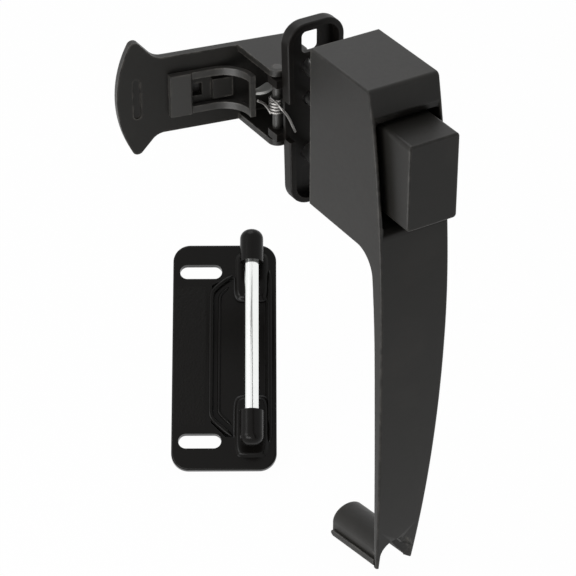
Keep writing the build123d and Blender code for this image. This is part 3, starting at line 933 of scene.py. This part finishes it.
@dataclass
class OutsideHandle:
    """The pull handle with its posts and the cover of its spring chamber.

    The sizes from foot_top to back_start find the foot's points on the solid, and those that
    start with lean give the lower and narrower foot that they are moved to.
    """

    plated: tuple[str, ...] = ("spring_cover", "mounting_posts", "clamp_screws")
    moulded: tuple[str, ...] = ("plunger_bush",)
    spread: float = 1.032
    crease: float = 25.0
    foot_top: float = -128.0 * MM
    root_depth: float = -31.6 * MM
    root_level: float = -141.9 * MM
    root_slack: float = 0.1 * MM
    foot_fall: float = 13.0
    foot_height: float = 13.3 * MM
    foot_half: float = 7.0 * MM
    foot_wall: float = 1.4 * MM
    foot_skin: float = 0.08 * MM
    hollow_start: float = 1.0 * MM
    back_start: float = 1.4 * MM
    lean_level: float = -142.1 * MM
    lean_fall: float = 10.4
    lean_height: float = 9.8 * MM
    lean_half: float = 5.7 * MM
    lean_growth: float = 1.03
    rim_start: float = 1.3 * MM
    rim_end: float = -5.6 * MM
    rim_half: float = 6.5 * MM
    rim_height: float = 2.2 * MM
    rim_rounding: float = 0.45
    rim_overlap: float = 0.6 * MM
    rim_dulled: float = 0.2 * MM

    def dress(self, finishes: Finishes) -> None:
        """Paint the casting and plate the steel.

        Args:
            finishes: the finished materials.
        """
        casting = self.casting()
        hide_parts("pull_handle")
        for piece in (casting, self.foot_rim(1.0), self.foot_rim(-1.0)):
            finishes.coat(piece, "door_set", Finish.SATIN_CASTING)
        finishes.dress(self.plated, Finish.ZINC)
        finishes.dress(self.moulded, Finish.NYLON)

    def above_bottom(self, y: np.ndarray, z: np.ndarray) -> np.ndarray:
        """How far points stand above the solid foot's sloping bottom.

        Args:
            y: the points' depths.
            z: their levels.

        Returns:
            The heights.
        """
        return z - self.root_level + (y - self.root_depth) * math.tan(math.radians(self.foot_fall))

    def on_foot(self, x: np.ndarray, y: np.ndarray, z: np.ndarray) -> np.ndarray:
        """Which points belong to the foot's arch.

        The arch has two upright sides and a half circle over them, outside and inside its wall,
        and it falls evenly from the grip's back to its end.

        Args:
            x: the points' places to the side.
            y: their depths.
            z: their levels.

        Returns:
            True for each point of the foot.
        """
        height = self.above_bottom(y, z)
        spring = self.foot_height - self.foot_half
        reach = np.where(height > spring, np.hypot(x, height - spring), np.abs(x))
        beyond = reach - self.foot_half
        outside = np.abs(beyond) < self.foot_skin
        inside = np.abs(beyond + self.foot_wall) < self.foot_skin
        outside &= y > self.root_depth - self.root_slack
        inside &= y > self.root_depth + self.hollow_start
        behind = y > self.root_depth + self.back_start
        return (z < self.foot_top) & (outside | inside | behind)

    def casting(self) -> bpy.types.Object:
        """The handle, a little broader than its solid, on the lower and narrower foot of the real one.

        Every point goes out from the middle plane by the same share. The foot's points keep their
        share of its height and half width, and of its length.

        Returns:
            The casting.
        """
        piece = merged_copy("handle_casting", "pull_handle")
        points = points_of(piece)
        x, y, z = points.T
        foot = self.on_foot(x, y, z)
        height = self.above_bottom(y, z)
        back = y - self.root_depth
        length = np.where(back > 0.0, self.lean_growth, 1.0) * back
        bottom = self.lean_level - length * math.tan(math.radians(self.lean_fall))
        points[:, 0] = np.where(foot, x * self.lean_half / self.foot_half, x * self.spread)
        points[:, 1] = np.where(foot, self.root_depth + length, y)
        points[:, 2] = np.where(foot, bottom + height * self.lean_height / self.foot_height, z)
        move_points(piece, points, self.crease)
        normals = piece.modifiers.new("normals", "WEIGHTED_NORMAL")
        normals.keep_sharp = True
        return piece

    def foot_rim(self, side: float) -> bpy.types.Object:
        """The flange along one lower edge of the foot, with its end's corners cut off.

        Args:
            side: 1 for the right edge, -1 for the left one.

        Returns:
            The flange.
        """
        fall = math.tan(math.radians(self.lean_fall))
        start, end = self.root_depth + self.rim_start, self.rim_end
        low, end_low = (self.lean_level - (depth - self.root_depth) * fall for depth in (start, end))
        rounded = self.rim_rounding * self.rim_height
        corners = np.array(
            [
                (start, low),
                (end - rounded, end_low),
                (end, end_low + 0.5 * rounded),
                (end, end_low + self.rim_height - rounded),
                (end - rounded, end_low + self.rim_height),
                (start, low + self.rim_height),
            ]
        )
        axes = (INWARD, UP, (side, 0.0, 0.0))
        span = (self.lean_half - self.rim_overlap, self.rim_half, self.rim_dulled)
        name = "foot_rim_right" if side > 0 else "foot_rim_left"
        return slab(name, corners, ORIGIN, axes, span)


@dataclass
class PushButton:
    """The button with its plunger, clip and spring."""

    castings: tuple[str, ...] = ("push_button",)
    plated: tuple[str, ...] = ("button_plunger",)
    wire: tuple[str, ...] = ("plunger_clip",)
    shortened: float = 4.2 * MM
    crease: float = 50.0

    def dress(self, finishes: Finishes) -> None:
        """Paint the button and leave its steel bare.

        Args:
            finishes: the finished materials.
        """
        finishes.dress(self.castings, Finish.SATIN_CASTING)
        finishes.dress(self.plated, Finish.ZINC)
        finishes.dress(self.wire, Finish.SPRING_WIRE)
        spring = self.pressed_spring()
        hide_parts("button_spring")
        finishes.coat(spring, "door_set", Finish.SPRING_WIRE)

    def pressed_spring(self) -> bpy.types.Object:
        """The return spring as it is when pressed, so that it stays inside the button at full travel.

        Every point keeps its share of the spring's length, measured from the seat.

        Returns:
            The spring.
        """
        piece = merged_copy("pressed_spring", "button_spring")
        points = points_of(piece)
        seat = points[:, 1].max()
        length = seat - points[:, 1].min()
        points[:, 1] = seat + (points[:, 1] - seat) * (length - self.shortened) / length
        move_points(piece, points, self.crease)
        return piece


@dataclass
class InsideLatch:
    """The inside plate, the lever on its pin, and the night-lock slide.

    keeper_reach is where the keeper starts and ends along the arm, from the rails' ends, and half
    its height. keeper_levels and web_depths are a lower level, an upper one and a dulled edge.
    """

    castings: tuple[str, ...] = ("latch_lever",)
    plates: tuple[str, ...] = ("inside_plate",)
    steel: tuple[str, ...] = ("pivot_pin", "night_lock_slide")
    wire: tuple[str, ...] = ("torsion_spring",)
    wire_radius: float = 0.4 * MM
    leg_rounds: int = 3
    # The two legs' corners are in millimetres in the part's frame.
    plate_leg_corners: tuple[Point, ...] = (
        (-10.5, 23.6, -2.2),
        (-10.5, 19.5, -2.3),
        (-10.5, 17.55, -2.9),
        (-8.2, 17.55, -5.9),
        (-5.8, 17.55, -12.0),
    )
    lever_leg_corners: tuple[Point, ...] = (
        (-10.5, 23.6, -7.2),
        (-11.0, 24.0, -5.8),
        (-12.6, 24.0, -3.4),
        (-14.8, 24.0, -2.0),
    )
    arm_turn: float = 11.0
    rail_end: Point = (-12.84 * MM, 31.21 * MM, -4.75 * MM)
    rail_thickness: float = 1.6 * MM
    rail_half_gap: float = 4.6 * MM
    bar_dulled: float = 0.2 * MM
    keeper_reach: Point = (10.6 * MM, 23.0 * MM, 4.2 * MM)
    keeper_levels: Point = (-14.0 * MM, -12.8 * MM, 0.15 * MM)
    keeper_rounds: int = 3
    web_level: float = -28.4 * MM
    web_half: Pair = (3.1 * MM, 3.5 * MM)
    web_depths: Point = (18.62 * MM, 20.08 * MM, 0.01 * MM)
    tongue_level: float = -3.6 * MM
    tongue_thickness: float = 0.9 * MM
    tongue_depth: float = 0.9 * MM
    tongue_dulled: float = 0.12 * MM
    tongue_rounds: int = 2
    # Millimetres to the right and inward of the tongue's root.
    tongue_corners: tuple[Pair, ...] = (
        (0.0, -0.6),
        (3.8, -2.2),
        (7.6, -0.5),
        (7.9, 3.4),
        (4.0, 1.7),
        (0.0, 0.6),
    )

    def dress(self, finishes: Finishes) -> None:
        """Paint castings and slide, and leave the spring's steel bare.

        Args:
            finishes: the finished materials.
        """
        finishes.dress(self.castings, Finish.SATIN_CASTING)
        finishes.dress(self.plates, Finish.PLATE_CASTING)
        finishes.dress(self.steel, Finish.SATIN_STEEL)
        finishes.dress(self.wire, Finish.SPRING_WIRE)
        plate_leg = self.spring_leg("spring_leg_plate", self.plate_leg_corners)
        lever_leg = self.spring_leg("spring_leg_lever", self.lever_leg_corners)
        finishes.coat(plate_leg, "door_set", Finish.SPRING_WIRE)
        finishes.coat(lever_leg, "lever", Finish.SPRING_WIRE)
        finishes.coat(self.plate_web(), "door_set", Finish.PLATE_CASTING)
        keeper = self.keeper()
        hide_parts("slide_keeper")
        for piece in (keeper, self.slide_bar()):
            finishes.coat(piece, "night_lock", Finish.SATIN_STEEL)
        finishes.coat(self.slide_tongue(), "night_lock", Finish.TONGUE_STEEL)

    def spring_leg(self, name: str, corners: Sequence[Point]) -> bpy.types.Object:
        """One leg of the torsion spring: wire along a line whose corners are cut.

        The plate's leg goes from the coil's top through the plate's notch and down inside the rim,
        and the lever's leg from the coil's bottom out along the lower flange.

        Args:
            name: the leg's name.
            corners: the line's corners, in millimetres.

        Returns:
            The leg.
        """
        return tube(name, softened(np.array(corners) * MM, self.leg_rounds), self.wire_radius)

    def plate_web(self) -> bpy.types.Object:
        """The web that closes the plate's lower end, where its solid has a second window.

        Returns:
            The web.
        """
        half_width, half_height = self.web_half
        corners = rectangle((-half_width, -half_height), (half_width, half_height))
        origin = (0.0, 0.0, self.web_level)
        return slab("plate_web", corners, origin, (RIGHT, UP, INWARD), self.web_depths)

    def keeper(self) -> bpy.types.Object:
        """The slide's keeper behind the arm, a rounded strip that covers the arm's slot at rest.

        Returns:
            The keeper.
        """
        turn = math.radians(self.arm_turn)
        along = (-math.cos(turn), math.sin(turn), 0.0)
        doorward = (-math.sin(turn), -math.cos(turn), 0.0)
        start, end, half = self.keeper_reach
        corners = [(start, 0.0), (start, half), (end, half), (end, -half), (start, -half), (start, 0.0)]
        outline = softened(corners, self.keeper_rounds)[:-1]
        axes = (along, UP, doorward)
        return slab("keeper_plate", outline, self.rail_end, axes, self.keeper_levels)

    def slide_bar(self) -> bpy.types.Object:
        """The bar that joins the ends of the slide's two bent rails.

        Returns:
            The bar.
        """
        turn = math.radians(self.arm_turn)
        along = (math.cos(turn), -math.sin(turn), 0.0)
        outward = (math.sin(turn), math.cos(turn), 0.0)
        half = self.rail_half_gap
        corners = rectangle((0.0, -half), (self.rail_thickness, half))
        span = (0.0, self.rail_thickness, self.bar_dulled)
        return slab("slide_bar", corners, self.rail_end, (along, UP, outward), span)

    def slide_tongue(self) -> bpy.types.Object:
        """The slide's bent tongue, a flat hook that lies level and reaches towards the pin.

        Returns:
            The tongue.
        """
        corners = np.array([*self.tongue_corners, self.tongue_corners[0]]) * MM
        outline = softened(corners, self.tongue_rounds)[:-1]
        across = self.rail_end[0] + 0.5 * self.rail_thickness
        root = (across, self.rail_end[1] + self.tongue_depth, 0.0)
        span = (self.tongue_level - self.tongue_thickness, self.tongue_level, self.tongue_dulled)
        return slab("slide_tongue", outline, root, (RIGHT, INWARD, UP), span)


@dataclass
class Strike:
    """The strike plate with its chrome pin between two caps.

    The beads' corners are given in millimetres, across and up from the strike's foot, and their
    sizes are half the width and the height. Each boss has its level and half its height.
    """

    castings: tuple[str, ...] = ("strike_plate",)
    caps: tuple[str, ...] = ("strike_cap_upper", "strike_cap_lower")
    pins: tuple[str, ...] = ("strike_pin",)
    rim_size: Pair = (0.85 * MM, 0.6 * MM)
    rim: tuple[Pair, ...] = (
        (3.0, 68.0),
        (-0.6, 65.8),
        (-4.1, 62.4),
        (-4.3, 60.6),
        (-4.4, 59.0),
        (-4.5, 21.0),
        (-4.5, 19.4),
        (-4.0, 17.4),
        (0.4, 13.4),
        (3.0, 11.2),
    )
    slope_size: Pair = (0.6 * MM, 0.5 * MM)
    slope: tuple[Pair, ...] = (
        (1.6, 64.2),
        (-1.3, 61.6),
        (-1.6, 60.0),
        (-1.7, 58.6),
        (-1.8, 21.8),
        (-1.8, 20.4),
        (-1.3, 19.0),
        (2.6, 15.4),
    )
    lip_size: Pair = (0.9 * MM, 0.7 * MM)
    lip: tuple[Pair, ...] = ((15.2, 9.0), (15.2, 70.0))
    boss_across: float = 9.2 * MM
    boss_half: float = 6.1 * MM
    boss_rise: float = 1.0 * MM
    upper_boss: Pair = (67.6 * MM, 9.0 * MM)
    lower_boss: Pair = (14.6 * MM, 11.0 * MM)

    def dress(self, finishes: Finishes) -> None:
        """Gloss black plate and caps, chromed pin.

        Args:
            finishes: the finished materials.
        """
        strike = finishes.strike
        face, floor = strike.thickness, strike.trough_floor
        pieces = [
            strike.bead("strike_rim", self.rim, self.rim_size, face),
            strike.bead("strike_slope", self.slope, self.slope_size, floor),
            strike.bead("strike_lip", self.lip, self.lip_size, face),
        ]
        for name, (level, half) in (("upper", self.upper_boss), ("lower", self.lower_boss)):
            middle, halves = (self.boss_across, level), (self.boss_half, half)
            pieces.append(strike.boss(f"strike_boss_{name}", middle, halves, self.boss_rise))
        for piece in pieces:
            finishes.coat(piece, "door_set", Finish.GLOSS_CASTING)
        finishes.dress(self.castings, Finish.GLOSS_CASTING)
        finishes.dress(self.caps, Finish.GLOSS_PLASTIC)
        finishes.dress(self.pins, Finish.CHROME)


@dataclass(frozen=True)
class Lamp:
    """A square soft light, its places and its side in metres and its power in watts."""

    name: str
    place: Point
    target: Point
    side: float
    power: float

    def hang(self) -> None:
        """Put the light at its place, turned to its target and unseen by the camera."""
        light = bpy.data.lights.new(self.name, "AREA")
        light.energy = self.power
        light.size = self.side
        lamp = bpy.data.objects.new(self.name, light)
        lamp.location = self.place
        direction = Vector(self.target) - Vector(self.place)
        lamp.rotation_euler = direction.to_track_quat("-Z", "Y").to_euler()
        lamp.visible_camera = False
        bpy.context.scene.collection.objects.link(lamp)


@dataclass
class Studio:
    """Pale floor, soft light and the camera at the photograph's place."""

    floor_gap: float = 0.3 * MM
    floor_reach: float = 1.2
    floor_colour: Colour = (0.80, 0.80, 0.80)
    floor_white: float = 0.98
    eye: Point = (-0.3277, -0.5072, 0.3362)
    elevation: float = 33.21
    azimuth: float = -31.33
    lens: float = 150.0
    sensor: float = 36.0
    clip: Pair = (0.01, 10.0)
    ambient: float = 0.42
    lamps: tuple[Lamp, ...] = (
        Lamp("key", (0.10, 0.45, 0.75), (0.0, 0.0, -0.05), 0.6, 2.6),
        Lamp("fill", (-0.8, 0.1, 0.35), (0.0, 0.0, -0.05), 0.5, 3.0),
        Lamp("low", (-0.20, -0.09, -0.16), (-0.005, -0.03, -0.125), 0.2, 0.8),
    )

    def floor(self) -> None:
        """A flat square under the part, with its corners at plus and minus its reach."""
        reach = np.array([-self.floor_reach, self.floor_reach])
        x, y = np.meshgrid(reach, reach)
        level = CAD_BOX[0][2] - self.floor_gap
        points = np.stack([x.ravel(), y.ravel(), np.full(4, level)], axis=1)
        mesh = bpy.data.meshes.new("floor")
        mesh.from_pydata(points.tolist(), [], [(0, 1, 3, 2)])
        piece = bpy.data.objects.new("floor", mesh)
        bpy.context.scene.collection.objects.link(piece)
        piece.data.materials.append(self.white_material())

    def white_material(self) -> bpy.types.Material:
        """Pale floor that is plain white to the eye and in reflections.

        Returns:
            The floor's material.
        """
        shader = Shader("white_floor")
        plain = shader.add("ShaderNodeBsdfDiffuse", {}, {"Color": (*self.floor_colour, 1.0)})
        white = shader.add("ShaderNodeEmission", {}, {"Color": WHITE})
        share = shader.seen_directly() * self.floor_white
        inputs = {0: share, 1: plain.outputs[0], 2: white.outputs[0]}
        mixed = shader.add("ShaderNodeMixShader", {}, inputs)
        shader.add("ShaderNodeOutputMaterial", {}, {"Surface": mixed.outputs[0]})
        return shader.material

    def world(self) -> None:
        """White to the eye and in reflections, dimmer as light on the part."""
        world = bpy.data.worlds.new("white_room")
        bpy.context.scene.world = world
        nodes = Nodes(world)
        levels = {"Value": nodes.seen_directly(), "To Min": self.ambient, "To Max": 1.0}
        strength = nodes.add("ShaderNodeMapRange", {}, levels).outputs[0]
        light = nodes.add("ShaderNodeBackground", {}, {"Color": WHITE, "Strength": strength})
        nodes.add("ShaderNodeOutputWorld", {}, {"Surface": light.outputs[0]})

    def lights(self) -> None:
        """A key light from above and behind, a weak fill from the left, and one low by the grip."""
        for lamp in self.lamps:
            lamp.hang()

    def camera(self) -> None:
        """The camera at the photograph's place, held level."""
        data = bpy.data.cameras.new("camera")
        data.lens = self.lens
        data.sensor_width = self.sensor
        data.clip_start, data.clip_end = self.clip
        camera = bpy.data.objects.new("camera", data)
        camera.location = self.eye
        tilt = math.radians(90.0 - self.elevation)
        camera.rotation_euler = (tilt, 0.0, math.radians(self.azimuth))
        bpy.context.scene.collection.objects.link(camera)
        bpy.context.scene.camera = camera

    def build(self) -> None:
        """Set up everything around the part."""
        bpy.context.scene.view_settings.view_transform = "Standard"
        self.camera()
        self.world()
        self.floor()
        self.lights()


def main() -> None:
    """Make the finishes, dress each sub-assembly, and set the studio."""
    logging.basicConfig(level=logging.INFO, format="%(name)s %(message)s")
    finishes = Finishes()
    finishes.build()
    for assembly in (OutsideHandle(), PushButton(), InsideLatch(), Strike()):
        assembly.dress(finishes)
    Studio().build()


if __name__ == "__main__":
    main()
